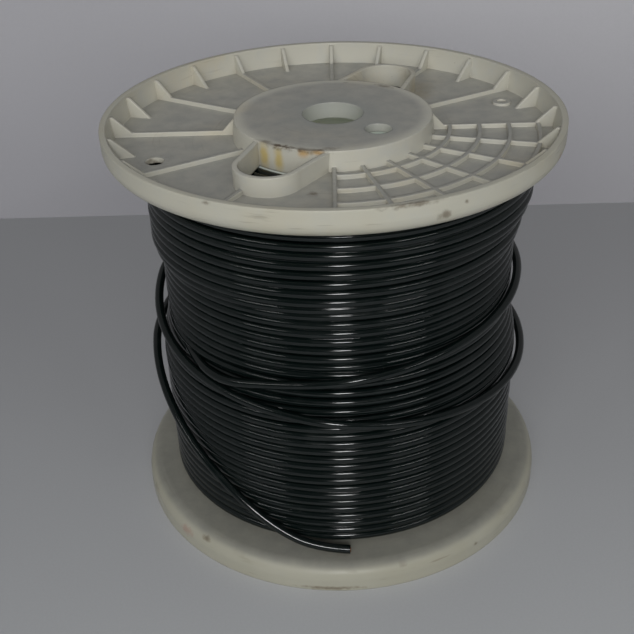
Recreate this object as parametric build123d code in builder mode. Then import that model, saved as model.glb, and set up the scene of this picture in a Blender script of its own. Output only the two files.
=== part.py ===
"""Moulded plastic wire reel, standing on one flange and wound with insulated wire.

The reel is two like flanges and a barrel tube. Each flange is a flat web with a rim,
a raised hub, radial and ring ribs, rim gussets and two walled start-hole pockets.
The wound wire is one turned solid. Its last turns have come loose and hang round
the winding, with the cut end lying on the lower flange.

Origin: centre of the lower flange's underside. +Z runs up the reel's axis, and the
loose end lies on the -Y side.
"""

from build123d import *
from math import cos, pi, radians, sin, tan
import os

# Overall sizes, in millimetres
flange_diameter = 165.0
reel_height = 156.0
flange_height = 10.2

# Flange web and rim
web_thickness = 2.0
rim_wall_top = 2.2
rim_wall_base = 3.4
rim_inner_edge_radius = 5.5
rim_lip_radius = 0.8

# Barrel and the spigots that locate it
barrel_diameter = 70.0
barrel_wall = 2.6
spigot_length = 7.0
spigot_wall = 2.0
spigot_clearance = 0.15
seat_clearance = 0.05

# Hub, arbor bore and drive-pin hole
hub_overhang = 0.5
hub_draft = 0.8
hub_recess = 1.2
hub_plate_thickness = 3.0
hub_edge_radius = 2.0
arbor_bore_diameter = 22.0
bore_collar_wall = 2.4
bore_collar_depth = 6.0
pin_hole_diameter = 9.6
pin_hole_reach = 22.6
pin_hole_angle = -46.5

# Start-hole pockets beside the barrel
pocket_setback = 13.3
pocket_angle = -116.0
pocket_nose_radius = 11.8
pocket_wall = 1.8
pocket_left_angle = -141.0
pocket_right_angle = -90.0
pocket_recess = 1.6

# Ribs and gussets on the outer side of each flange
rib_width = 1.4
rib_height = 1.6
rib_step = 30.0
grid_rib_step = 15.0
grid_start_angle = -90.0
grid_sweep = 90.0
ring_rib_count = 4
ring_rib_hub_gap = 6.4
ring_rib_rim_gap = 5.4
gusset_count = 24
gusset_foot = 8.0
gusset_recess = 0.8
hub_gusset_foot = 5.0

# Wire-end hole through the web and the plugged boss opposite
end_hole_diameter = 6.6
end_hole_inset = 16.8
end_hole_angle = -159.3
boss_diameter = 7.0
boss_inset = 13.6
boss_height = 1.0
boss_dimple_diameter = 3.6
boss_dimple_depth = 0.7

# Wound wire
wire_diameter = 3.3
turn_count = 40
waist_turns = 12
band_turns = 11
winding_clearance = 0.15
winding_foot_inset = 12.2
winding_waist_inset = 15.6
winding_band_inset = 12.9

# Loose turns. Each bend takes the same share of the shorter of its two runs.
# A route point is a bearing in degrees, a distance out from the waist of the winding
# and a height above the lower flange. The bearing runs counter-clockwise seen from
# above and goes on past 360.
bend_share = 0.45
loose_wire_route = [
    (-121, 3.4, 70.2),
    (-97, 4.4, 74.2),
    (-73, 4.1, 78.0),
    (-49, 4.2, 81.5),
    (-23, 4.5, 84.4),
    (5, 4.9, 86.4),
    (36, 5.6, 86.8),
    (70, 5.9, 86.2),
    (104, 5.9, 85.0),
    (138, 5.3, 82.4),
    (166, 4.3, 79.6),
    (186, 3.8, 75.4),
    (204, 3.9, 70.0),
    (224, 4.2, 66.0),
    (246, 5.2, 63.2),
    (270, 7.5, 60.0),
    (296, 7.7, 56.4),
    (322, 7.8, 53.0),
    (348, 8.1, 51.8),
    (376, 8.9, 52.6),
    (410, 9.6, 54.2),
    (446, 9.9, 55.8),
    (482, 9.5, 57.4),
    (514, 8.5, 58.0),
    (536, 7.1, 56.6),
    (551, 6.8, 51.4),
    (565, 6.7, 43.4),
    (580, 6.7, 33.0),
    (596, 6.5, 20.4),
    (610, 6.4, 9.0),
    (622, 6.8, 2.7),
    (632, 7.0, 2.3),
]

flange_radius = flange_diameter / 2
barrel_radius = barrel_diameter / 2
hub_radius = barrel_radius + hub_overhang
hub_flat_radius = hub_radius - hub_edge_radius
hub_top = flange_height - hub_recess
pocket_reach = barrel_radius + pocket_setback
end_hole_reach = flange_radius - end_hole_inset
boss_reach = flange_radius - boss_inset
barrel_bore_radius = barrel_radius - barrel_wall
spigot_radius = barrel_bore_radius - spigot_clearance
arbor_radius = arbor_bore_diameter / 2
collar_radius = arbor_radius + bore_collar_wall
rim_top_radius = flange_radius - rim_wall_top
rim_base_radius = flange_radius - rim_wall_base
hub_base_radius = hub_radius + hub_draft
traverse = reel_height - 2 * flange_height
turn_pitch = (traverse - 2 * seat_clearance) / turn_count

# Each flange is drawn on the plane of its inner face, with its outer side along +Z there
upper_face = Plane(origin=(0, 0, reel_height - flange_height), x_dir=(1, 0, 0), z_dir=(0, 0, 1))
lower_face = Plane(origin=(0, 0, flange_height), x_dir=(1, 0, 0), z_dir=(0, 0, -1))


def polar(reach, angle):
    """Point at a reach and an angle in the plane of a sketch."""
    return (reach * cos(radians(angle)), reach * sin(radians(angle)))


def nose_point(side):
    """Point on the pocket's nose circle, square to the line from the axis to its centre."""
    centre = polar(pocket_reach, pocket_angle)
    across = polar(pocket_nose_radius, pocket_angle + side * 90)
    return (centre[0] + across[0], centre[1] + across[1])


# Outline of one pocket with its wall: a round nose joined to the hub by two sides
with BuildSketch() as pocket_outline:
    with BuildLine():
        nose = ThreePointArc(
            nose_point(-1), polar(pocket_reach + pocket_nose_radius, pocket_angle), nose_point(1)
        )
        Line(nose @ 1, polar(hub_radius - pocket_wall, pocket_right_angle))
        Line(polar(hub_radius - pocket_wall, pocket_right_angle), (0, 0))
        Line((0, 0), polar(hub_radius - pocket_wall, pocket_left_angle))
        Line(polar(hub_radius - pocket_wall, pocket_left_angle), nose @ 0)
    make_face()

# Inside of the pocket, which is open through the web as the start hole
with BuildSketch() as pocket_inside:
    add(pocket_outline.sketch)
    offset(amount=-pocket_wall, kind=Kind.INTERSECTION, mode=Mode.REPLACE)

# One triangular gusset of the rim, standing on the web
with BuildPart() as rim_gusset:
    with BuildSketch(Plane.XZ):
        with BuildLine():
            Polyline(
                (rim_base_radius - gusset_foot, web_thickness / 2),
                (rim_base_radius - gusset_foot, web_thickness),
                (rim_top_radius - rib_width, flange_height - gusset_recess),
                (rim_top_radius + rim_wall_top / 2, flange_height - gusset_recess),
                (rim_top_radius + rim_wall_top / 2, rim_inner_edge_radius),
                (rim_base_radius, web_thickness / 2),
                close=True,
            )
        make_face()
    extrude(amount=rib_width / 2, both=True)

# One triangular gusset of the hub
with BuildPart() as hub_gusset:
    with BuildSketch(Plane.XZ):
        with BuildLine():
            Polyline(
                (hub_radius - hub_draft, web_thickness / 2),
                (hub_radius - hub_draft, hub_top - gusset_recess),
                (hub_radius, hub_top - gusset_recess),
                (hub_base_radius + hub_gusset_foot, web_thickness),
                (hub_base_radius + hub_gusset_foot, web_thickness / 2),
                close=True,
            )
        make_face()
    extrude(amount=rib_width / 2, both=True)


def mould_flange(face):
    """One flange, with its inner face on the given plane and its ribs on the far side."""
    section = Plane(origin=face.origin, x_dir=face.x_dir, z_dir=face.x_dir.cross(face.z_dir))
    web_middle = face.offset(web_thickness / 2)
    with BuildPart(face) as flange:
        # Web, rim, hub, bore collar and spigot, turned as one profile
        with BuildSketch(section) as profile:
            with BuildLine():
                Polyline(
                    (arbor_radius, hub_top),
                    (hub_radius, hub_top),
                    (hub_base_radius, web_thickness),
                    (rim_base_radius, web_thickness),
                    (rim_top_radius, flange_height),
                    (flange_radius, flange_height),
                    (flange_radius, 0),
                    (spigot_radius, 0),
                    (spigot_radius, -spigot_length),
                    (spigot_radius - spigot_wall, -spigot_length),
                    (spigot_radius - spigot_wall, hub_top - hub_plate_thickness),
                    (collar_radius, hub_top - hub_plate_thickness),
                    (collar_radius, hub_top - bore_collar_depth),
                    (arbor_radius, hub_top - bore_collar_depth),
                    close=True,
                )
            make_face()
            corners = profile.vertices()
            fillet(corners.sort_by_distance((flange_radius, 0))[0], rim_inner_edge_radius)
            fillet(corners.sort_by_distance((hub_radius, hub_top))[0], hub_edge_radius)
            fillet(
                corners.sort_by_distance((flange_radius, flange_height))[0:2],
                rim_lip_radius,
            )
        revolve(axis=Axis(face.origin, face.z_dir))

        # Long radial ribs, and the closer ones of the ribbed quarter
        rib_end = (rim_base_radius + rim_top_radius) / 2
        rib_run = rib_end - hub_radius
        rib_centre = (rib_end + hub_radius) / 2
        plain_sweep = 360 - grid_sweep
        plain_ribs = round(plain_sweep / rib_step)
        grid_ribs = round(grid_sweep / grid_rib_step)
        with BuildSketch(web_middle):
            with PolarLocations(rib_centre, plain_ribs, grid_start_angle + grid_sweep, plain_sweep):
                Rectangle(rib_run, rib_width)
            with PolarLocations(rib_centre, grid_ribs, grid_start_angle, grid_sweep):
                Rectangle(rib_run, rib_width)
        extrude(amount=web_thickness / 2 + rib_height)

        # Ring ribs of the ribbed quarter
        first_ring = hub_radius + ring_rib_hub_gap
        ring_spacing = (rim_base_radius - ring_rib_rim_gap - first_ring) / (ring_rib_count - 1)
        for ring in range(ring_rib_count):
            ring_radius = first_ring + ring * ring_spacing
            with BuildSketch(web_middle):
                with BuildLine():
                    CenterArc((0, 0), ring_radius, grid_start_angle, grid_sweep)
                    offset(amount=rib_width / 2, kind=Kind.INTERSECTION)
                make_face()
            extrude(amount=web_thickness / 2 + rib_height)

        # Gussets all round the rim, and two beside the hub
        with PolarLocations(0, gusset_count):
            add(rim_gusset.part)
        with PolarLocations(0, 2):
            add(hub_gusset.part)

        # Pocket walls, then the start holes between them and the hub
        with BuildSketch(web_middle):
            with PolarLocations(0, 2):
                add(pocket_outline.sketch)
                add(pocket_inside.sketch, mode=Mode.SUBTRACT)
            Circle(hub_flat_radius, mode=Mode.SUBTRACT)
        extrude(amount=flange_height - pocket_recess - web_thickness / 2)
        with BuildSketch(face):
            with PolarLocations(0, 2):
                add(pocket_inside.sketch)
            Circle(hub_radius, mode=Mode.SUBTRACT)
        extrude(amount=flange_height, mode=Mode.SUBTRACT)

        # Drive-pin hole through the hub plate
        with BuildSketch(face):
            with Locations(polar(pin_hole_reach, pin_hole_angle)):
                Circle(pin_hole_diameter / 2)
        extrude(amount=flange_height, mode=Mode.SUBTRACT)

        # Wire-end hole through the web, and the plugged boss opposite it
        with BuildSketch(face):
            with Locations(polar(end_hole_reach, end_hole_angle)):
                Circle(end_hole_diameter / 2)
        extrude(amount=flange_height, mode=Mode.SUBTRACT)
        with BuildSketch(web_middle):
            with Locations(polar(boss_reach, end_hole_angle + 180)):
                Circle(boss_diameter / 2)
        extrude(amount=web_thickness / 2 + boss_height)
        with BuildSketch(face.offset(web_thickness + boss_height - boss_dimple_depth)):
            with Locations(polar(boss_reach, end_hole_angle + 180)):
                Circle(boss_dimple_diameter / 2)
        extrude(amount=boss_dimple_depth, mode=Mode.SUBTRACT)
    return flange


upper_flange = mould_flange(upper_face)
upper_flange.part.label = "upper_flange"

lower_flange = mould_flange(lower_face)
lower_flange.part.label = "lower_flange"

# Barrel: a plain tube between the two inner faces, over both spigots
with BuildPart() as barrel:
    with BuildSketch(Plane.XY.offset(flange_height + seat_clearance)):
        Circle(barrel_radius)
        Circle(barrel_bore_radius, mode=Mode.SUBTRACT)
    extrude(amount=traverse - 2 * seat_clearance)
barrel.part.label = "barrel"


# Winding: every layer as one turned solid, with a lower outer layer at its waist
winding_foot_radius = flange_radius - winding_foot_inset
winding_waist_radius = flange_radius - winding_waist_inset
winding_band_radius = flange_radius - winding_band_inset
winding_bottom = flange_height + seat_clearance
winding_top = winding_bottom + turn_count * turn_pitch
band_bottom = winding_top - band_turns * turn_pitch
waist_bottom = band_bottom - waist_turns * turn_pitch
foot_corners = [
    (winding_foot_radius, winding_bottom),
    (winding_foot_radius, waist_bottom - wire_diameter / 2),
]
band_corners = [
    (winding_band_radius, band_bottom + wire_diameter / 2),
    (winding_band_radius, winding_top),
]
with BuildPart() as wire_winding:
    with BuildSketch(Plane.XZ) as winding_profile:
        with BuildLine():
            Polyline(
                (barrel_radius + winding_clearance, winding_bottom),
                *foot_corners,
                (winding_waist_radius, waist_bottom + wire_diameter / 2),
                (winding_waist_radius, band_bottom - wire_diameter / 2),
                *band_corners,
                (barrel_radius + winding_clearance, winding_top),
                close=True,
            )
        make_face()
        profile_corners = winding_profile.vertices()
        for corner in foot_corners + band_corners:
            fillet(profile_corners.sort_by_distance(corner)[0], wire_diameter / 2)
    revolve(axis=Axis.Z)
wire_winding.part.label = "wire_winding"

# Loose wire: straight runs joined by tangent arcs, each as large as its two runs allow
route = []
for bearing, reach_out, height in loose_wire_route:
    plan_point = polar(winding_waist_radius + reach_out, bearing)
    route.append(Vector(*plan_point, flange_height + height))
bend_radii = []
for before, corner, after in zip(route, route[1:], route[2:]):
    turn_angle = (corner - before).get_angle(after - corner)
    shorter_run = min((corner - before).length, (after - corner).length)
    bend_radii.append(bend_share * shorter_run / tan(radians(turn_angle / 2)))
print("bend radii of the loose wire:", [round(radius, 1) for radius in bend_radii])

with BuildLine() as loose_path:
    FilletPolyline(*route, radius=bend_radii)
loose_run = loose_path.wire()
with BuildPart() as loose_wire:
    with BuildSketch(Plane(origin=loose_run @ 0, z_dir=loose_run % 0)):
        Circle(wire_diameter / 2)
    sweep(path=loose_run)
loose_wire.part.label = "loose_wire"
plain_volume = pi * wire_diameter**2 / 4 * loose_run.length
print("length of the loose wire:", round(loose_run.length, 1))
print("its volume over section times length:", round(loose_wire.part.volume / plain_volume, 4))

os.makedirs("parts", exist_ok=True)
export_step(upper_flange.part, "parts/upper_flange.step")
export_step(lower_flange.part, "parts/lower_flange.step")
export_step(barrel.part, "parts/barrel.step")
export_step(wire_winding.part, "parts/wire_winding.step")
export_step(loose_wire.part, "parts/loose_wire.step")
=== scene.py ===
"""Finishes a moulded plastic wire reel and winds it with glossy black wire.

The two flanges and the barrel are the frame's own solids and get an aged ivory
finish. The wound wire is one long helix over a ringed core, its last turns hang
loose round it as a smooth cord, and the cut end shows the conductor.
"""

from math import atan2, cos, hypot, pi, radians, sin, tau

import bmesh
import bpy
from bpy.props import FloatProperty, FloatVectorProperty, IntProperty, PointerProperty
from mathutils import Matrix, Vector, noise


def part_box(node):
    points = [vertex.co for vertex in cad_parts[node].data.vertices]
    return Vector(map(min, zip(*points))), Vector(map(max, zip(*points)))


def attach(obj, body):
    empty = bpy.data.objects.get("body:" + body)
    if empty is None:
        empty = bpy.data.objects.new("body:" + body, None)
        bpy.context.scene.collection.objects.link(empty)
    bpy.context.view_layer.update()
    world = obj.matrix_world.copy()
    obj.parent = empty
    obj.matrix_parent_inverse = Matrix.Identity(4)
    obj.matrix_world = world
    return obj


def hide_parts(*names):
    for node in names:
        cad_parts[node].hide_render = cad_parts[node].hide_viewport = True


bl_info = {
    "name": "Wire Reel",
    "version": (1, 1, 0),
    "blender": (4, 5, 0),
    "location": "3D View > Sidebar > Wire Reel",
    "description": "Finishes a moulded wire reel and winds it with insulated wire",
    "category": "Object",
}

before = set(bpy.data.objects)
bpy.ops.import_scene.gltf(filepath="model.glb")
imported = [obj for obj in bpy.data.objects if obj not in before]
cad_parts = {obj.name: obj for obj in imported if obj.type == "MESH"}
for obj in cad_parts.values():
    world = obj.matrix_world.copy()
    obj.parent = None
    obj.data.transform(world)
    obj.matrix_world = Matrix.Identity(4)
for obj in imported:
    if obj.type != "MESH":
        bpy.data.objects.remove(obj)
bpy.context.view_layer.update()
winding_low, winding_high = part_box("wire_winding")
barrel_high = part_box("barrel")[1]

# Loose turns, as (bearing in degrees, distance from the axis, height) of each control
# point. The bearing runs counter-clockwise seen from above and goes on past 360.
LOOSE_ROUTE = [
    (-121, 0.0703, 0.0804),
    (-97, 0.0713, 0.0844),
    (-73, 0.0710, 0.0882),
    (-49, 0.0711, 0.0917),
    (-23, 0.0714, 0.0946),
    (5, 0.0718, 0.0966),
    (36, 0.0725, 0.0970),
    (70, 0.0728, 0.0964),
    (104, 0.0728, 0.0952),
    (138, 0.0722, 0.0926),
    (166, 0.0712, 0.0898),
    (186, 0.0707, 0.0856),
    (204, 0.0708, 0.0802),
    (224, 0.0711, 0.0762),
    (246, 0.0721, 0.0734),
    (270, 0.0744, 0.0702),
    (296, 0.0746, 0.0666),
    (322, 0.0747, 0.0632),
    (348, 0.0750, 0.0620),
    (376, 0.0758, 0.0628),
    (410, 0.0765, 0.0644),
    (446, 0.0768, 0.0660),
    (482, 0.0764, 0.0676),
    (514, 0.0754, 0.0682),
    (536, 0.0740, 0.0668),
    (551, 0.0737, 0.0616),
    (565, 0.0736, 0.0536),
    (580, 0.0736, 0.0432),
    (596, 0.0734, 0.0306),
    (610, 0.0733, 0.0192),
    (622, 0.0737, 0.0129),
    (632, 0.0739, 0.0125),
]

# The last stretch of the wound wire, which rises from between the turns to the loose ones
TAKE_OFF = [
    (-163, 0.0636, 0.0788),
    (-151, 0.0648, 0.0790),
    (-141, 0.0669, 0.0793),
    (-131.5, 0.0700, 0.0797),
    (-122.4, 0.0712, 0.08025),
    (-115.4, 0.0693, 0.0813),
]

# Marks of use on the plastic, as (bearing in degrees, distance from the axis, height,
# reach along the round, reach in and out, reach up and down). The drips, the rust spots
# and the first marks of grime are on the hub beside the front pocket.
DRIPS = [
    (-131.5, 0.0355, 0.1505, 0.0031, 0.0014, 0.0070),
    (-121.5, 0.0355, 0.1500, 0.0027, 0.0014, 0.0070),
]
RUST_SPOTS = [
    (-106.5, 0.0355, 0.1537, 0.0030, 0.0015, 0.0022),
    (-98.5, 0.0355, 0.1543, 0.0028, 0.0015, 0.0014),
]
STAINS = [
    (53.0, 0.0570, 0.1500, 0.0100, 0.0090, 0.0080),
    (47.0, 0.0490, 0.1490, 0.0080, 0.0090, 0.0070),
]
GRIME_AND_SHADE_MARKS = [
    (-106.0, 0.0347, 0.1551, 0.0110, 0.0021, 0.0021),
    (-124.0, 0.0347, 0.1551, 0.0110, 0.0021, 0.0021),
    (-122.5, 0.0346, 0.1546, 0.0024, 0.0014, 0.0016),
    # Painted shade: a dark mark for the shade of a notch at the front of the hub's edge
    (-92.5, 0.0332, 0.1555, 0.0056, 0.0022, 0.0018),
    (-66.8, 0.0825, 0.1503, 0.0032, 0.0020, 0.0026),
    (-61.6, 0.0825, 0.1533, 0.0010, 0.0010, 0.0010),
    (-117.6, 0.0822, 0.1552, 0.0026, 0.0012, 0.0010),
    (-97.4, 0.0535, 0.1478, 0.0022, 0.0022, 0.0006),
    (-159.3, 0.0657, 0.1450, 0.0080, 0.0080, 0.0040),
    (78.5, 0.0612, 0.1478, 0.0014, 0.0014, 0.0010),
    # Painted shade: dark marks for the shade of a slot at the far side of the hub's edge
    (54.0, 0.0335, 0.1552, 0.0052, 0.0020, 0.0016),
    (80.4, 0.0330, 0.1554, 0.0014, 0.0014, 0.0012),
    (-73.0, 0.0600, 0.1490, 0.0016, 0.0050, 0.0012),
    (-74.0, 0.0821, 0.1556, 0.0130, 0.0014, 0.0011),
    (-73.0, 0.0825, 0.1463, 0.0070, 0.0014, 0.0012),
    (-130.5, 0.0812, 0.0082, 0.0026, 0.0020, 0.0016),
    (-93.0, 0.0822, 0.0013, 0.0160, 0.0016, 0.0012),
    (-52.0, 0.0824, 0.0052, 0.0016, 0.0010, 0.0012),
]
RED_MARKS = [
    (-25.1, 0.0825, 0.1494, 0.0040, 0.0015, 0.0036),
    (-138.0, 0.0822, 0.0060, 0.0045, 0.0015, 0.0034),
]

# The bore and the pin hole, whose walls are grey, written like the marks of use
GREY_HOLES = [
    (0.0, 0.0, 0.1535, 1.0, 0.0240, 0.0200),
    (-46.5, 0.0226, 0.1535, 0.0090, 0.0090, 0.0090),
]

# The wound layer leans towards +X: its radius at the foot, waist and band, and the height
# of its band, change by these amounts from the reel's axis to that side
FOOT_LEAN = 0.0004
WAIST_LEAN = 0.0006
BAND_LEAN = 0.0003
BAND_TILT = 0.003

# Half the height over which the radius changes above the foot and at the band, how far in
# front of +X the bulge stands, and the heights between which it rises
FOOT_SLOPE = 0.011
BAND_SLOPE = 0.0036
BULGE_TURN = radians(6)
BULGE_RISE = (0.1225, 0.1305)

# How unevenly the turns lie: the radius of a turn's circle through the noise, the step from
# one turn to the next, where the noise for the lift starts, how far the noise is biased
# inwards, the lift's share of the waver, how much looser the topmost turns are, and the
# heights between which they get looser
WAVER_ROUND = 1.1
WAVER_UP = 0.83
LIFT_START = Vector((7.3, 1.1, 4.7))
INWARD_BIAS = 0.4
LIFT_SHARE = 0.6
LOOSENING = 1.4
LOOSE_RISE = (0.122, 0.134)

# Both ends of the wound layer dive to the turns below, over this part of a turn and by this
# many wire diameters
TUCK_TURNS = 0.14
TUCK_DEPTH = 1.7

# Vertices of the spun turns that lie this close are one
WELD_DISTANCE = 0.00002

# The core's gap to the barrel, how many wire diameters its side lies inside the wound
# layer's waist, and the share of the wire's radius that the side's rings sink in
CORE_GAP = 0.0003
CORE_DEPTH = 1.35
RING_SINK = 0.3

# How far the cut conductor stands out of the insulation, and the width of its soft edge
CUT_LENGTH = 0.0002
CUT_EDGE = 0.00012

# Where the plastic's finish changes, each as the value where the change starts and the
# value where it is complete. Heights and distances from the axis are in metres.
LOW_COLOUR_HEIGHT = (0.012, 0.030)
RAISED_HEIGHT = (0.1497, 0.1503)
RAISED_DISTANCE = (0.0300, 0.0350)
RIM_DISTANCE = (0.0795, 0.0815)
LEVEL_FACE = (0.6, 0.98)

# Half the width of the floor and of the wall
STAGE_REACH = 4.0

# Where the floor's painted light fades from near to far, and the wall's painted light grows from
# low to high, and where the painted shade on the left of each ends
FLOOR_DEPTH = (-0.22, 0.16)
FLOOR_LEFT = (-0.18, 0.0)
WALL_RISE = (0.0, 0.16)
WALL_LEFT = (-0.16, 0.08)

# Lamps, as (place, width, height), all turned to the reel's middle. The thin strips are
# given as (bearing in degrees, width), at one distance, height and thickness.
REEL_MIDDLE = (0, 0, 0.08)
FRONT_LAMP = ((-0.1, -1.45, 0.7), 1.5, 0.7)
GLINT_LAMP = ((0.02, -1.6, 1.05), 0.26, 0.3)
STRIP_DISTANCE = 1.6
STRIP_HEIGHT = 1.2
STRIP_THICKNESS = 0.07
STRIPS = ((-141, 0.75), (-47, 0.72))

# The camera's place, its turns in radians, and its shift in frame widths
CAMERA_PLACE = (0, -0.34197, 0.28165)
CAMERA_YAW = -0.0105
CAMERA_PITCH = 0.5699
CAMERA_ROLL = -0.0304
CAMERA_SHIFT = (-0.01948, 0.02049)
SENSOR_WIDTH = 36.0

# The room: its colour, how straight to the front and up to which height it is dim, by what
# share, and how bright the camera itself sees it
ROOM_COLOUR = (1.0, 1.0, 1.02, 1)
DIM_AHEAD = (0.36, 0.56)
DIM_BELOW = (0.75, 0.95)
DIM_SHARE = 0.72
SEEN_STRENGTH = 0.4


def length_property(name, description, default):
    """A size in metres."""
    return FloatProperty(name=name, description=description, default=default, unit="LENGTH")


def colour_property(name, description, default):
    """An opaque colour."""
    return FloatVectorProperty(
        name=name, description=description, subtype="COLOR", size=4, default=(*default, 1)
    )


def roughness_property(name, description, default):
    """A surface's roughness, from 0 to 1."""
    return FloatProperty(name=name, description=description, default=default, subtype="FACTOR")


def power_property(name, description, default):
    """A lamp's power in watts."""
    return FloatProperty(name=name, description=description, default=default, unit="POWER")


class ReelSizes(bpy.types.PropertyGroup):
    """Sizes of the wire and of the way it lies on the reel."""

    wire_diameter: length_property(
        "Wire Diameter", "Diameter of the wire over its insulation", 0.0033
    )
    conductor_diameter: length_property(
        "Conductor Diameter", "Diameter of the copper inside the insulation", 0.00205
    )
    turn_count: IntProperty(
        name="Turns",
        description="Turns of wire in the outermost layer, from flange to flange",
        default=40,
    )
    foot_radius: length_property("Foot Radius", "Outer radius of the lowest turns", 0.0703)
    waist_radius: length_property(
        "Waist Radius", "Outer radius of the turns between the foot and the band", 0.0669
    )
    band_radius: length_property(
        "Band Radius", "Outer radius of the raised turns at the top", 0.0696
    )
    foot_height: length_property(
        "Foot Height", "Height where the winding has half left the foot", 0.0755
    )
    band_height: length_property(
        "Band Height", "Height where the winding has half risen to the band", 0.1135
    )
    bulge: length_property(
        "Bulge", "How far the piled turns at the top stand out on one side", 0.0031
    )
    waver: length_property("Waver", "How far a turn strays from an even helix", 0.00025)


class ReelFinish(bpy.types.PropertyGroup):
    """Colours and gloss of the plastic, the wire and the copper."""

    plastic_colour: colour_property(
        "Plastic", "Aged ivory of the moulded flanges and barrel", (0.565, 0.552, 0.475)
    )
    warm_colour: colour_property(
        "Warm Patches", "Plastic that has yellowed more", (0.585, 0.525, 0.385)
    )
    pale_colour: colour_property(
        "Pale Patches", "Plastic that has yellowed less", (0.52, 0.525, 0.485)
    )
    plastic_roughness: roughness_property(
        "Plastic Roughness", "Roughness of the plastic where it is clean", 0.36
    )
    # A darker colour for the plastic low down, fading out by 30 mm above the floor
    low_darker_colour: colour_property(
        "Dull Foot", "Plastic low down, worn on dusty floors", (0.315, 0.31, 0.255)
    )
    rim_colour: colour_property(
        "Worn Rims", "Plastic rubbed dull along the rims", (0.40, 0.385, 0.295)
    )
    # Dust and painted shade: this grey darkens the faces that look up
    dust_and_shade_colour: colour_property("Dust", "Grey film on the faces that look up", (0.30, 0.30, 0.282))
    # Dust and painted shade on the lower flange, darker still under the upper one
    low_dust_and_shade_colour: colour_property(
        "Low Dust", "Darker film on the lower flange", (0.215, 0.215, 0.19)
    )
    hole_colour: colour_property(
        "Worn Holes", "Grey walls of the bore and the pin hole", (0.30, 0.315, 0.30)
    )
    # Grime and painted shade: this colour also darkens the corners that ambient occlusion finds,
    # and a few dark gaps at the hub's edge
    grime_and_shade_colour: colour_property(
        "Grime", "Dirt that gathers in the corners and along the edges", (0.12, 0.088, 0.052)
    )
    drip_colour: colour_property(
        "Drips", "Yellow stains run down beside the hub", (0.56, 0.44, 0.17)
    )
    rust_colour: colour_property(
        "Rust Spots", "Orange spots on the edge of the hub", (0.55, 0.31, 0.07)
    )
    stain_colour: colour_property("Stains", "Brown stains in the far pocket", (0.32, 0.275, 0.185))
    smear_colour: colour_property("Smear", "Dull red smears on the rims", (0.32, 0.13, 0.10))
    # Painted light: the barrel's plastic emits this colour, standing in for light seen inside the
    # bore
    painted_glow_colour: colour_property(
        "Glow Colour", "Colour of the light that comes through the plastic", (0.82, 0.96, 0.92)
    )
    # Strength of the painted light that the barrel's plastic emits
    barrel_painted_glow: FloatProperty(
        name="Barrel Glow",
        description="Light that the milky plastic lets through into the barrel",
        default=0.15,
    )
    wire_colour: colour_property("Insulation", "Black of the insulation", (0.0018, 0.0046, 0.0042))
    wire_dust_colour: colour_property("Wire Dust", "Dust on the insulation", (0.024, 0.030, 0.028))
    wire_roughness: roughness_property(
        "Insulation Roughness", "Roughness of the insulation where it is clean", 0.125
    )
    copper_colour: colour_property("Copper", "Copper of the cut conductor", (0.50, 0.22, 0.11))
    tarnish_colour: colour_property("Tarnish", "Dark tarnish on the copper", (0.11, 0.055, 0.03))


class ReelStage(bpy.types.PropertyGroup):
    """The surface the reel stands on, its lamps and its camera."""

    # Painted light: the floor is lighter in front, towards the lamps, than behind the reel
    floor_near: colour_property(
        "Floor in Front", "Colour of the surface in front of the reel", (0.60, 0.618, 0.632)
    )
    floor_far: colour_property(
        "Floor Behind", "Colour of the surface behind the reel", (0.455, 0.46, 0.478)
    )
    # Painted shade on the left of the floor
    floor_left_shade: colour_property("Floor Left", "Cast of the surface on the left", (0.36, 0.37, 0.39))
    floor_grain: colour_property("Floor Grain", "Fine grain of the surface", (0.2, 0.2, 0.2))
    # Painted light: the wall is lighter higher up
    wall_low: colour_property(
        "Wall Foot", "Colour of the wall behind the reel, low down", (0.46, 0.455, 0.48)
    )
    wall_high: colour_property(
        "Wall Top", "Colour of the wall behind the reel, higher up", (0.585, 0.58, 0.605)
    )
    # Painted shade on the left of the wall
    wall_left_shade: colour_property("Wall Left", "Cast of the wall on the left", (0.33, 0.33, 0.36))
    wall_grain: colour_property("Wall Grain", "Fine grain of the wall", (0.25, 0.25, 0.26))
    wall_distance: length_property(
        "Wall Distance", "Distance from the reel's axis to the wall", 0.241
    )
    room_light: FloatProperty(
        name="Room Light",
        description="Strength of the even light from the sides and the back",
        default=0.188,
    )
    front_power: power_property("Front Power", "Power of the wide lamp in front of the reel", 10.8)
    glint_power: power_property(
        "Glint Power", "Power of the narrow lamp that the wire's gloss shows", 6.6
    )
    strip_power: power_property("Strip Power", "Power of each thin lamp beside the narrow one", 1.9)
    focal_length: FloatProperty(
        name="Focal Length",
        description="Focal length of the camera on a 36 mm sensor",
        default=56.5,
        unit="CAMERA",
    )


class Socket:
    """A node's output that Python's operators join by Math nodes."""

    def __init__(self, shader, output):
        self.shader = shader
        self.output = output

    def math(self, operation, *values):
        """A Math node of these values."""
        return self.shader.node("ShaderNodeMath", {"operation": operation}, dict(enumerate(values)))

    def __add__(self, other):
        return self.math("ADD", self, other)

    def __radd__(self, other):
        return self.math("ADD", other, self)

    def __sub__(self, other):
        return self.math("SUBTRACT", self, other)

    def __rsub__(self, other):
        return self.math("SUBTRACT", other, self)

    def __mul__(self, other):
        return self.math("MULTIPLY", self, other)

    def __rmul__(self, other):
        return self.math("MULTIPLY", other, self)

    def __truediv__(self, other):
        return self.math("DIVIDE", self, other)

    def __rtruediv__(self, other):
        return self.math("DIVIDE", other, self)

    def __pow__(self, other):
        return self.math("POWER", self, other)


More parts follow.
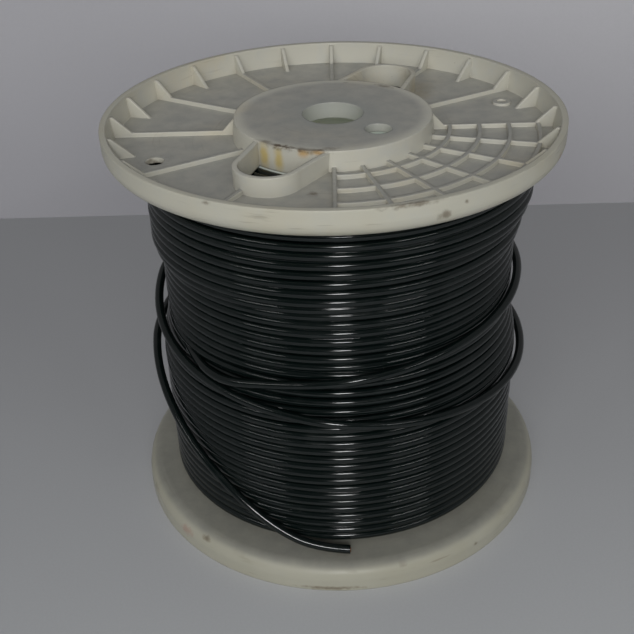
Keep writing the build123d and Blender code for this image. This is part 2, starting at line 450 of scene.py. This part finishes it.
class Shader:
    """One material's nodes, written as Python expressions."""

    def __init__(self, tree):
        self.tree = tree
        self.tree.nodes.clear()

    def node(self, kind, settings=None, inputs=None, output=0):
        """A node with its settings made first, then its sockets filled or joined."""
        made = self.tree.nodes.new(kind)
        for name, value in (settings or {}).items():
            setattr(made, name, value)
        for key, value in (inputs or {}).items():
            if isinstance(value, Socket):
                self.tree.links.new(value.output, made.inputs[key])
            else:
                made.inputs[key].default_value = value
        return Socket(self, made.outputs[output] if made.outputs else None)

    def vector(self, operation, *values, output="Vector"):
        """A Vector Math node of these values."""
        return self.node(
            "ShaderNodeVectorMath", {"operation": operation}, dict(enumerate(values)), output
        )

    def split(self, vector):
        """The three numbers of a vector."""
        made = self.node("ShaderNodeSeparateXYZ", inputs={0: vector}).output.node
        return [Socket(self, made.outputs[axis]) for axis in "XYZ"]

    def mix(self, factor, first, second):
        """One colour laid over another by a factor."""
        return self.node(
            "ShaderNodeMix", {"data_type": "RGBA"}, {0: factor, 6: first, 7: second}, output=2
        )

    def noise(self, place, scale, detail=2.0, roughness=0.5):
        """Noise from 0 to 1 about 0.5, with this many features to the metre."""
        inputs = {"Vector": place, "Scale": scale, "Detail": detail, "Roughness": roughness}
        return self.node("ShaderNodeTexNoise", inputs=inputs)

    def step(self, value, low, high):
        """0 below the low value and 1 above the high one, with a smooth rise."""
        return self.node(
            "ShaderNodeMapRange",
            {"interpolation_type": "SMOOTHSTEP"},
            {"Value": value, "From Min": low, "From Max": high},
        )

    def marks(self, round_place, edge, marks):
        """1 at each mark of a list and 0 beyond it, with an outline that the edge breaks."""
        total = 0
        for bearing, distance, height, along, out, up in marks:
            centre = (radians(bearing), distance, height)
            spread = (distance / along, 1 / out, 1 / up)
            away = self.vector("MULTIPLY", self.vector("SUBTRACT", round_place, centre), spread)
            distance_away = self.vector("LENGTH", away, output="Value")
            total = (1 - self.step(distance_away + edge, low=0.1, high=1.0)) + total
        return total

    def surface(self, inputs):
        """The shader of a solid surface, joined to the material's output."""
        shader = self.node("ShaderNodeBsdfPrincipled", inputs=inputs)
        self.node("ShaderNodeOutputMaterial", inputs={"Surface": shader})


def new_material(name):
    """A new material and the builder of its nodes."""
    material = bpy.data.materials.new(name)
    material.use_nodes = True
    return material, Shader(material.node_tree)


def new_piece(name, bm, material, slot=None):
    """A finished, smooth mesh as an object at the origin.

    With a slot it is a piece of the reel, which rides on its body and faces outwards.
    """
    if slot:
        bmesh.ops.recalc_face_normals(bm, faces=bm.faces)
    mesh = bpy.data.meshes.new(name)
    bm.to_mesh(mesh)
    bm.free()
    mesh.shade_smooth()
    mesh.materials.append(material)
    piece = bpy.data.objects.new(name, mesh)
    bpy.context.scene.collection.objects.link(piece)
    if slot:
        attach(piece, "root")
    return piece


def polar(bearing, reach, height):
    """A point at a bearing in degrees, a distance from the axis and a height."""
    return Vector((reach * cos(radians(bearing)), reach * sin(radians(bearing)), height))


def rise(value, low, high):
    """0 below the low value and 1 above the high one, with a smooth rise."""
    share = min(1, max(0, (value - low) / (high - low)))
    return share * share * (3 - 2 * share)


def plastic_marks(finish, shader, colour, place, round_place):
    """Lays the drips, rust spots, stains, grime with a few marks of painted shade, and smears on
    the plastic, in this order.
    """
    edge = (shader.noise(place, scale=420.0, detail=3.0, roughness=0.6) - 0.5) * 1.6
    for marks, fray, strength, mark_colour in (
        (DRIPS, edge * 0.5, 0.9, finish.drip_colour),
        (RUST_SPOTS, edge * 0.7, 0.7, finish.rust_colour),
        (STAINS, edge * 0.5, 0.6, finish.stain_colour),
        (GRIME_AND_SHADE_MARKS, edge, 0.7, finish.grime_and_shade_colour),
        (RED_MARKS, edge, 0.4, finish.smear_colour),
    ):
        cover = shader.marks(round_place, fray, marks)
        colour = shader.mix(cover * strength, colour, mark_colour)
    return colour


def plastic_material(finish, name, painted_glow=0.0):
    """Aged ivory plastic: mottled, dusty with painted shade on top, grimy with painted shade in its
    corners, stained by the hub, emitting painted light when given a strength.
    """
    material, shader = new_material(name)
    place = shader.node("ShaderNodeTexCoord", output="Object")
    x, y, z = shader.split(place)
    reach = (x * x + y * y) ** 0.5
    bearing = x.math("ARCTAN2", y, x)
    round_place = shader.node("ShaderNodeCombineXYZ", inputs={0: bearing, 1: reach, 2: z})

    # Streaks that run round the axis, as rubbing against a turning reel leaves them
    lane = (reach + z) * 900
    lanes = shader.node("ShaderNodeCombineXYZ", inputs={0: x * 60, 1: y * 60, 2: lane})
    streaks = shader.noise(lanes, scale=1.0, detail=3.0)
    clouds = shader.noise(place, scale=30.0, detail=3.0)
    mottle = shader.noise(place, scale=150.0, detail=4.0, roughness=0.6)
    specks = shader.noise(place, scale=800.0, detail=2.0)

    # Warm and pale patches, and a darker colour low down
    warm = shader.step(clouds, low=0.48, high=0.72) * 0.6
    colour = shader.mix(warm, finish.plastic_colour, finish.warm_colour)
    pale = shader.step(mottle, low=0.46, high=0.72) * 0.5
    colour = shader.mix(pale, colour, finish.pale_colour)
    low = 1 - shader.step(z, *LOW_COLOUR_HEIGHT)
    colour = shader.mix(low * (0.4 + 0.7 * clouds), colour, finish.low_darker_colour)

    # A grey film of dust and painted shade on the faces that look up, all but the raised ones, and
    # a grey in the holes
    facing = shader.node("ShaderNodeNewGeometry", output="Normal")
    raised = shader.step(z, *RAISED_HEIGHT) * shader.step(reach, *RAISED_DISTANCE)
    film_and_top_shade = shader.step(shader.split(facing)[2], *LEVEL_FACE) * (1 - raised)
    dust = shader.mix(low, finish.dust_and_shade_colour, finish.low_dust_and_shade_colour)
    colour = shader.mix(film_and_top_shade * (0.3 + 0.75 * mottle), colour, dust)
    holes = shader.marks(round_place, 0, GREY_HOLES)
    colour = shader.mix(holes, colour, finish.hole_colour)

    # Grime and painted shade in the corners that ambient occlusion finds, worn rims, scuffs, marks
    # of use and specks
    shade = shader.node("ShaderNodeAmbientOcclusion", {"samples": 8}, {"Distance": 0.004}, "AO")
    corner_grime_and_shade = shader.step(1 - shade, low=0.3, high=0.85) * (0.3 + 0.9 * mottle)
    colour = shader.mix(corner_grime_and_shade * 0.35, colour, finish.grime_and_shade_colour)
    rim = shader.step(reach, *RIM_DISTANCE)
    colour = shader.mix(rim * (0.2 + 0.4 * clouds), colour, finish.rim_colour)
    scuff = shader.step(streaks, low=0.6, high=0.7) * shader.step(clouds, low=0.42, high=0.58)
    scuff = scuff * (0.35 + 0.65 * rim)
    colour = shader.mix(scuff * 0.3, colour, finish.grime_and_shade_colour)
    colour = plastic_marks(finish, shader, colour, place, round_place)
    dots = shader.step(specks, low=0.77, high=0.81)
    colour = shader.mix(dots * 0.4, colour, finish.grime_and_shade_colour)

    # Edges softened by the mould, and a faint orange-peel skin
    soft = shader.node("ShaderNodeBevel", {"samples": 8}, {"Radius": 0.0008})
    peel = shader.noise(place, scale=1500.0, detail=2.0)
    height = peel * 0.3 + mottle * 0.6 + streaks * 0.15
    bump = {"Strength": 0.22, "Distance": 0.0002, "Height": height, "Normal": soft}
    normal = shader.node("ShaderNodeBump", inputs=bump)
    roughness = finish.plastic_roughness + 0.25 * (mottle - 0.5) + 0.2 * scuff + 0.2 * corner_grime_and_shade
    inputs = {"Base Color": colour, "Roughness": roughness, "Normal": normal}
    # Painted light: given a strength, the plastic emits light of its own
    if painted_glow:
        inputs.update({"Emission Color": finish.painted_glow_colour, "Emission Strength": painted_glow})
    shader.surface(inputs)
    return material


def wire_material(finish, name, place_name=None):
    """Glossy black insulation with a fine grain and a little dust.

    The grain is drawn out along the wire where an attribute of the mesh says how it lies.
    """
    material, shader = new_material(name)
    body = shader.node("ShaderNodeTexCoord", output="Object")
    if place_name:
        lay = shader.node("ShaderNodeAttribute", {"attribute_name": place_name}, output="Vector")
        grain_place = shader.vector("MULTIPLY", lay, (0.03, 1.0, 1.0))
    else:
        grain_place = body
    grain = shader.noise(grain_place, scale=1800.0, detail=2.0)
    ripple = shader.noise(body, scale=240.0, detail=2.0)
    cloud = shader.noise(body, scale=60.0, detail=5.0, roughness=0.7)
    dust = shader.step(cloud, low=0.48, high=0.8)
    colour = shader.mix(dust * 0.4 * grain, finish.wire_colour, finish.wire_dust_colour)
    height = grain * 0.2 + ripple * 0.45
    bump = {"Strength": 0.16, "Distance": 0.0003, "Height": height}
    normal = shader.node("ShaderNodeBump", inputs=bump)
    roughness = finish.wire_roughness + 0.08 * (grain - 0.5) + 0.15 * dust
    shader.surface({"Base Color": colour, "Roughness": roughness, "Normal": normal})
    return material


def copper_material(finish):
    """Tarnished copper with the fine ridges a cutter leaves."""
    material, shader = new_material("tarnished_copper")
    place = shader.node("ShaderNodeTexCoord", output="Object")
    drawn = shader.vector("MULTIPLY", place, (1.0, 6.0, 1.0))
    ridges = shader.noise(drawn, scale=2600.0, detail=2.0)
    cloud = shader.noise(place, scale=900.0, detail=3.0)
    tarnish = shader.step(cloud, low=0.4, high=0.7)
    colour = shader.mix(tarnish * 0.7, finish.copper_colour, finish.tarnish_colour)
    bump = {"Strength": 0.5, "Distance": 0.0001, "Height": ridges}
    normal = shader.node("ShaderNodeBump", inputs=bump)
    roughness = 0.35 + 0.3 * tarnish
    inputs = {"Base Color": colour, "Metallic": 0.9, "Roughness": roughness, "Normal": normal}
    shader.surface(inputs)
    return material


def floor_material(stage):
    """A pale painted surface with a faint sheen and a fine grain, with painted light that makes it
    lighter in front and painted shade on its left.
    """
    material, shader = new_material("floor")
    place = shader.node("ShaderNodeTexCoord", output="Object")
    across, depth, _ = shader.split(place)
    drift = shader.noise(place, scale=6.0, detail=3.0)
    grain = shader.noise(place, scale=1100.0, detail=3.0)
    far = shader.step(depth + 0.1 * (drift - 0.5), *FLOOR_DEPTH)
    tint = shader.mix(far, stage.floor_near, stage.floor_far)
    left = 1 - shader.step(across, *FLOOR_LEFT)
    tint = shader.mix(left * 0.32, tint, stage.floor_left_shade)
    tint = shader.mix(grain * 0.14, tint, stage.floor_grain)
    shader.surface({"Base Color": tint, "Roughness": 0.42 + 0.15 * grain})
    return material


def wall_material(stage):
    """A pale wall with painted light that makes it lighter higher up and painted shade on its left,
    clear from behind so that the back shows.
    """
    material, shader = new_material("wall")
    place = shader.node("ShaderNodeTexCoord", output="Object")
    across, _, height = shader.split(place)
    drift = shader.noise(place, scale=5.0, detail=2.0)
    grain = shader.noise(place, scale=700.0, detail=3.0)
    high = shader.step(height + 0.05 * (drift - 0.5), *WALL_RISE)
    tint = shader.mix(high, stage.wall_low, stage.wall_high)
    left = 1 - shader.step(across, *WALL_LEFT)
    tint = shader.mix(left * 0.35, tint, stage.wall_left_shade)
    tint = shader.mix(grain * 0.1, tint, stage.wall_grain)
    shown = shader.node("ShaderNodeBsdfPrincipled", inputs={"Base Color": tint, "Roughness": 0.8})
    clear = shader.node("ShaderNodeBsdfTransparent")
    behind = shader.node("ShaderNodeNewGeometry", output="Backfacing")
    both = shader.node("ShaderNodeMixShader", inputs={0: behind, 1: shown, 2: clear})
    shader.node("ShaderNodeOutputMaterial", inputs={"Surface": both})
    return material


def winding_radius(sizes, height, bearing):
    """Outer radius of the wound wire at a height and a bearing in radians."""
    lean = cos(bearing)
    foot = sizes.foot_radius + FOOT_LEAN * lean
    waist = sizes.waist_radius + WAIST_LEAN * lean
    band = sizes.band_radius + BAND_LEAN * lean
    side = max(0, cos(bearing + BULGE_TURN)) ** 2
    band += sizes.bulge * side * rise(height, *BULGE_RISE)
    low = sizes.foot_height
    high = sizes.band_height + BAND_TILT * lean
    radius = foot + (waist - foot) * rise(height, low - FOOT_SLOPE, low + FOOT_SLOPE)
    return radius + (band - waist) * rise(height, high - BAND_SLOPE, high + BAND_SLOPE)


def wind_wire(bm, sizes, sides, steps):
    """Spins one turn, repeats it up the winding, then gives every turn its own lay."""
    radius = sizes.wire_diameter / 2
    turns = sizes.turn_count - 1
    pitch = (winding_high.z - winding_low.z) / (turns + 1)
    first_height = winding_low.z + pitch / 2
    section = bmesh.ops.create_circle(bm, segments=sides, radius=pitch / 2)["verts"]
    bmesh.ops.rotate(bm, verts=section, cent=(0, 0, 0), matrix=Matrix.Rotation(pi / 2, 3, "X"))
    bmesh.ops.translate(bm, verts=section, vec=(sizes.waist_radius, 0, first_height))
    bmesh.ops.spin(
        bm,
        geom=section + list(bm.edges),
        cent=(0, 0, 0),
        axis=(0, 0, 1),
        dvec=(0, 0, pitch / steps),
        angle=tau,
        steps=steps,
        use_duplicate=False,
    )
    turn_geometry = bm.verts[:] + bm.edges[:] + bm.faces[:]
    for number in range(1, turns):
        copied = bmesh.ops.duplicate(bm, geom=turn_geometry)["geom"]
        raised = [part for part in copied if isinstance(part, bmesh.types.BMVert)]
        bmesh.ops.translate(bm, verts=raised, vec=(0, 0, pitch * number))
    bmesh.ops.remove_doubles(bm, verts=bm.verts, dist=WELD_DISTANCE)
    bmesh.ops.holes_fill(bm, edges=[edge for edge in bm.edges if edge.is_boundary], sides=0)

    # Each vertex keeps its place along and across the wire for the grain of the insulation
    lay = bm.verts.layers.float_vector.new("lay")
    for vert in bm.verts:
        bearing = atan2(vert.co.y, vert.co.x)
        turn = round((vert.co.z - first_height) / pitch - bearing / tau) + bearing / tau
        reach = hypot(vert.co.x, vert.co.y)
        across = reach - sizes.waist_radius
        height = first_height + turn * pitch
        vert[lay] = (turn * tau * sizes.waist_radius, across, vert.co.z - height)

        spot = Vector((cos(bearing) * WAVER_ROUND, sin(bearing) * WAVER_ROUND, turn * WAVER_UP))
        loose = 1 + LOOSENING * rise(height, *LOOSE_RISE)
        drift = noise.noise(spot) - INWARD_BIAS
        lift = noise.noise(spot + LIFT_START) * sizes.waver * LIFT_SHARE * loose
        middle = winding_radius(sizes, height, bearing) - radius
        new_reach = middle + across + sizes.waver * loose * min(0, drift)
        tuck = 1 - rise(min(turn, turns - turn), 0, TUCK_TURNS)
        new_reach -= tuck * TUCK_DEPTH * sizes.wire_diameter
        vert.co.x *= new_reach / reach
        vert.co.y *= new_reach / reach
        vert.co.z = min(winding_high.z, max(winding_low.z, vert.co.z + lift))


def turn_core(bm, sizes, steps):
    """Turns the layers under the outer one: ringed ends and a ringed side, closed."""
    radius = sizes.wire_diameter / 2
    inner = barrel_high.x + CORE_GAP
    side = sizes.waist_radius - CORE_DEPTH * sizes.wire_diameter
    rings = round((side - inner) / sizes.wire_diameter)
    ring_width = (side - inner) / rings
    rows = sizes.turn_count
    row_height = (winding_high.z - winding_low.z - 2 * radius) / rows

    def ring_point(ring, angle):
        """How far out and how deep a point of a ring on either end lies."""
        reach = inner + (ring + 0.5 + 0.5 * cos(radians(angle))) * ring_width
        return reach, radius * (1 - sin(radians(angle)))

    points = []
    for ring in range(rings):
        for angle in range(180, 0, -30):
            reach, depth = ring_point(ring, angle)
            points.append((reach, 0, winding_high.z - depth))
    for row in range(rows):
        for angle in range(90, -90, -45):
            drop = (row + 0.5 - 0.5 * sin(radians(angle))) * row_height
            reach = side + radius * (cos(radians(angle)) - RING_SINK)
            points.append((reach, 0, winding_high.z - radius - drop))
    for ring in reversed(range(rings)):
        for angle in range(30, 210, 30):
            reach, depth = ring_point(ring, angle)
            points.append((reach, 0, winding_low.z + depth))
    verts = [bm.verts.new(point) for point in points]
    edges = [bm.edges.new(pair) for pair in zip(verts, verts[1:] + verts[:1])]
    bmesh.ops.spin(
        bm,
        geom=verts + edges,
        cent=(0, 0, 0),
        axis=(0, 0, 1),
        dvec=(0, 0, 0),
        angle=tau,
        steps=steps,
        use_merge=True,
        use_duplicate=False,
    )


class REEL_OT_plastic(bpy.types.Operator):
    """Give the flanges and the barrel their aged ivory plastic"""

    bl_idname = "wire_reel.plastic"
    bl_label = "Finish Reel"

    def execute(self, context):
        finish = context.scene.reel_finish
        flanges = plastic_material(finish, "aged_ivory_plastic")
        # The barrel's plastic emits painted light
        barrel = plastic_material(finish, "ivory_plastic_painted_glow", finish.barrel_painted_glow)
        coats = {"upper_flange": flanges, "lower_flange": flanges, "barrel": barrel}
        for name, material in coats.items():
            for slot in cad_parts[name].material_slots:
                slot.material = material
        return {"FINISHED"}


class REEL_OT_wound_wire(bpy.types.Operator):
    """Wind the wire on the barrel, layer on layer"""

    bl_idname = "wire_reel.wound_wire"
    bl_label = "Wind Wire"

    def execute(self, context):
        sizes = context.scene.reel_sizes
        finish = context.scene.reel_finish
        outer = bmesh.new()
        wind_wire(outer, sizes, sides=14, steps=96)
        insulation = wire_material(finish, "wound_insulation", place_name="lay")
        wound = new_piece("wound_wire", outer, insulation, slot="wire_insulation")
        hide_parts("wire_winding")

        core = bmesh.new()
        turn_core(core, sizes, steps=96)
        insulation = wire_material(finish, "inner_insulation")
        new_piece("inner_layers", core, insulation, slot="wire_insulation")
        return {"FINISHED"}


def wire_curve(name, route, sizes, material):
    """A length of round wire along a route, as a smooth curve with closed ends."""
    curve = bpy.data.curves.new(name, "CURVE")
    curve.dimensions = "3D"
    curve.bevel_depth = sizes.wire_diameter / 2
    curve.bevel_resolution = 4
    curve.use_fill_caps = True
    spline = curve.splines.new("NURBS")
    spline.points.add(len(route) - 1)
    for point, step in zip(spline.points, route):
        point.co = (*polar(*step), 1)
    spline.order_u = 3
    spline.use_endpoint_u = True
    spline.resolution_u = 16
    curve.materials.append(material)
    wire = bpy.data.objects.new(name, curve)
    bpy.context.scene.collection.objects.link(wire)
    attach(wire, "root")
    return wire


def cut_conductor(sizes, material):
    """The conductor at the loose wire's end, cut nearly flush with the insulation."""
    copper = bmesh.new()
    depth = sizes.wire_diameter
    bmesh.ops.create_cone(
        copper,
        cap_ends=True,
        segments=20,
        radius1=sizes.conductor_diameter / 2,
        radius2=sizes.conductor_diameter / 2,
        depth=depth,
    )
    rims = [edge for edge in copper.edges if any(len(face.verts) > 4 for face in edge.link_faces)]
    bmesh.ops.bevel(
        copper, geom=rims, offset=CUT_EDGE, affect="EDGES", segments=2, profile=0.5, material=-1
    )
    end = polar(*LOOSE_ROUTE[-1])
    along = (end - polar(*LOOSE_ROUTE[-2])).normalized()
    turn = along.to_track_quat("Z", "Y").to_matrix()
    end += along * (CUT_LENGTH - depth / 2)
    bmesh.ops.rotate(copper, verts=copper.verts, cent=(0, 0, 0), matrix=turn)
    bmesh.ops.translate(copper, verts=copper.verts, vec=end)
    return new_piece("cut_conductor", copper, material, slot="wire_insulation")


class REEL_OT_loose_wire(bpy.types.Operator):
    """Hang the loose turns round the winding, with their cut end"""

    bl_idname = "wire_reel.loose_wire"
    bl_label = "Hang Loose Turns"

    def execute(self, context):
        sizes = context.scene.reel_sizes
        finish = context.scene.reel_finish
        insulation = wire_material(finish, "loose_insulation")
        wire_curve("take_off", TAKE_OFF, sizes, insulation)
        loose = wire_curve("loose_turns", LOOSE_ROUTE, sizes, insulation)
        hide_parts("loose_wire")
        conductor = cut_conductor(sizes, copper_material(finish))
        return {"FINISHED"}


def area_lamp(name, place, width, height, energy):
    """A rectangular lamp that faces the reel's middle and isn't seen itself."""
    lamp = bpy.data.lights.new(name, "AREA")
    lamp.shape = "RECTANGLE"
    lamp.size = width
    lamp.size_y = height
    lamp.energy = energy
    holder = bpy.data.objects.new(name, lamp)
    holder.location = place
    aim = Vector(REEL_MIDDLE) - Vector(place)
    holder.rotation_euler = aim.to_track_quat("-Z", "Y").to_euler()
    holder.visible_camera = False
    bpy.context.scene.collection.objects.link(holder)
    return holder


def light_room(scene, stage):
    """Even light from the sides and the back, dim from behind the camera."""
    world = bpy.data.worlds.new("room")
    scene.world = world
    world.use_nodes = True
    shader = Shader(world.node_tree)
    x, y, z = shader.split(shader.node("ShaderNodeTexCoord", output="Generated"))
    ahead = (0 - y) / (x * x + y * y + 0.0001) ** 0.5
    dim = shader.step(ahead, *DIM_AHEAD) * (1 - shader.step(z, *DIM_BELOW))
    seen = shader.node("ShaderNodeLightPath", output="Is Camera Ray")
    strength = stage.room_light * (1 - DIM_SHARE * dim) * (1 - seen) + SEEN_STRENGTH * seen
    inputs = {"Color": ROOM_COLOUR, "Strength": strength}
    background = shader.node("ShaderNodeBackground", inputs=inputs)
    shader.node("ShaderNodeOutputWorld", inputs={"Surface": background})


def place_lamps(stage):
    """A wide lamp without a reflection, a narrow one for the gloss, and a strip on each side."""
    front = area_lamp("front", *FRONT_LAMP, stage.front_power)
    front.visible_glossy = False
    area_lamp("glint", *GLINT_LAMP, stage.glint_power)
    for bearing, width in STRIPS:
        place = polar(bearing, STRIP_DISTANCE, STRIP_HEIGHT)
        area_lamp("strip", place, width, STRIP_THICKNESS, stage.strip_power)


def place_camera(scene, stage):
    """The camera as fitted to the outlines of the flanges and the hub in the photo."""
    camera = bpy.data.cameras.new("camera")
    camera.lens = stage.focal_length
    camera.sensor_width = SENSOR_WIDTH
    camera.shift_x, camera.shift_y = CAMERA_SHIFT
    holder = bpy.data.objects.new("camera", camera)
    holder.matrix_world = (
        Matrix.Translation(CAMERA_PLACE)
        @ Matrix.Rotation(-CAMERA_YAW, 4, "Z")
        @ Matrix.Rotation(pi / 2 - CAMERA_PITCH, 4, "X")
        @ Matrix.Rotation(CAMERA_ROLL, 4, "Z")
    )
    scene.collection.objects.link(holder)
    scene.camera = holder


class REEL_OT_stage(bpy.types.Operator):
    """Set the floor, the wall, the lamps and the camera"""

    bl_idname = "wire_reel.stage"
    bl_label = "Set Stage"

    def execute(self, context):
        scene = context.scene
        stage = scene.reel_stage
        scene.view_settings.view_transform = "Standard"

        floor = bmesh.new()
        bmesh.ops.create_grid(floor, x_segments=2, y_segments=2, size=STAGE_REACH)
        floor_piece = new_piece("floor", floor, floor_material(stage))

        # The wall stands on the floor behind the reel, and sends it no light and no shadow
        wall = bmesh.new()
        stand = Matrix.Translation((0, stage.wall_distance, STAGE_REACH))
        upright = stand @ Matrix.Rotation(pi / 2, 4, "X")
        bmesh.ops.create_grid(wall, x_segments=2, y_segments=2, size=STAGE_REACH, matrix=upright)
        wall_piece = new_piece("wall", wall, wall_material(stage))
        wall_piece.visible_diffuse = False
        wall_piece.visible_glossy = False
        wall_piece.visible_shadow = False

        light_room(scene, stage)
        place_lamps(stage)
        place_camera(scene, stage)
        return {"FINISHED"}


class REEL_PT_panel(bpy.types.Panel):
    """The reel's sizes, finishes and stage, and the steps that make it"""

    bl_idname = "REEL_PT_panel"
    bl_label = "Wire Reel"
    bl_space_type = "VIEW_3D"
    bl_region_type = "UI"
    bl_category = "Wire Reel"

    def draw(self, context):
        layout = self.layout
        for group_name in GROUPS:
            group = getattr(context.scene, group_name)
            box = layout.box()
            for name in group.__annotations__:
                box.prop(group, name)
        for operator in OPERATORS:
            layout.operator(operator.bl_idname)


GROUPS = {"reel_sizes": ReelSizes, "reel_finish": ReelFinish, "reel_stage": ReelStage}
OPERATORS = (REEL_OT_plastic, REEL_OT_wound_wire, REEL_OT_loose_wire, REEL_OT_stage)


def register():
    for name, group in GROUPS.items():
        bpy.utils.register_class(group)
        setattr(bpy.types.Scene, name, PointerProperty(type=group))
    for operator in OPERATORS:
        bpy.utils.register_class(operator)
    bpy.utils.register_class(REEL_PT_panel)


def unregister():
    bpy.utils.unregister_class(REEL_PT_panel)
    for operator in reversed(OPERATORS):
        bpy.utils.unregister_class(operator)
    for name, group in GROUPS.items():
        delattr(bpy.types.Scene, name)
        bpy.utils.unregister_class(group)


def main():
    register()
    bpy.ops.wire_reel.plastic()
    bpy.ops.wire_reel.wound_wire()
    bpy.ops.wire_reel.loose_wire()
    bpy.ops.wire_reel.stage()
    bpy.context.view_layer.update()


if __name__ == "__main__":
    main()
